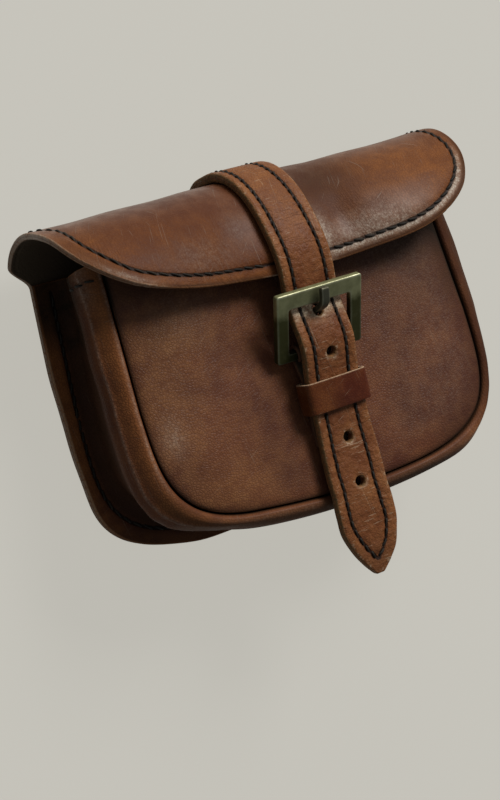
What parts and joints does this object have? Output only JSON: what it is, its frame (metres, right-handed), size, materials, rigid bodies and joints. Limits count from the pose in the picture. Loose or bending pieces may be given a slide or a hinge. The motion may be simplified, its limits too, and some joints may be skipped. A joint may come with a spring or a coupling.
{
  "type": "belt bag",
  "caption": "Leather belt bag with a rolled flap, a pleated gusset, and a strap that closes through a square brass buckle and a leather keeper; loops on the back take a belt.",
  "frame": {"origin": "on the surface that the bag lies on, under the middle of its box", "axes": "+X to the bag's right as seen from its front, +Y towards its top, +Z out of its front"},
  "size_m": [0.1946, 0.1704, 0.0745],
  "materials": {
    "hide_leather": "waxed and worn, pale raw edges",
    "front_leather": "waxed, fine grain, mottled",
    "gusset_leather": "waxed, softly creased",
    "strap_leather": "waxed, cracked at its bends, pale raw edges",
    "keeper_leather": "smooth, polished by wear",
    "tab_leather": "plain waxed",
    "aged_brass": "antiqued, olive, edges rubbed bright",
    "dark_brass": "antiqued, dark"
  },
  "bodies": {
    "root": {"back_and_flap": "hide_leather", "front_panel": "front_leather", "gusset": "gusset_leather", "strap": "strap_leather", "buckle_frame": "aged_brass", "buckle_prong": "dark_brass", "buckle_chape": "tab_leather", "keeper_loop": "keeper_leather", "belt_loop_left": "tab_leather", "belt_loop_right": "tab_leather"}
  },
  "joints": []
}
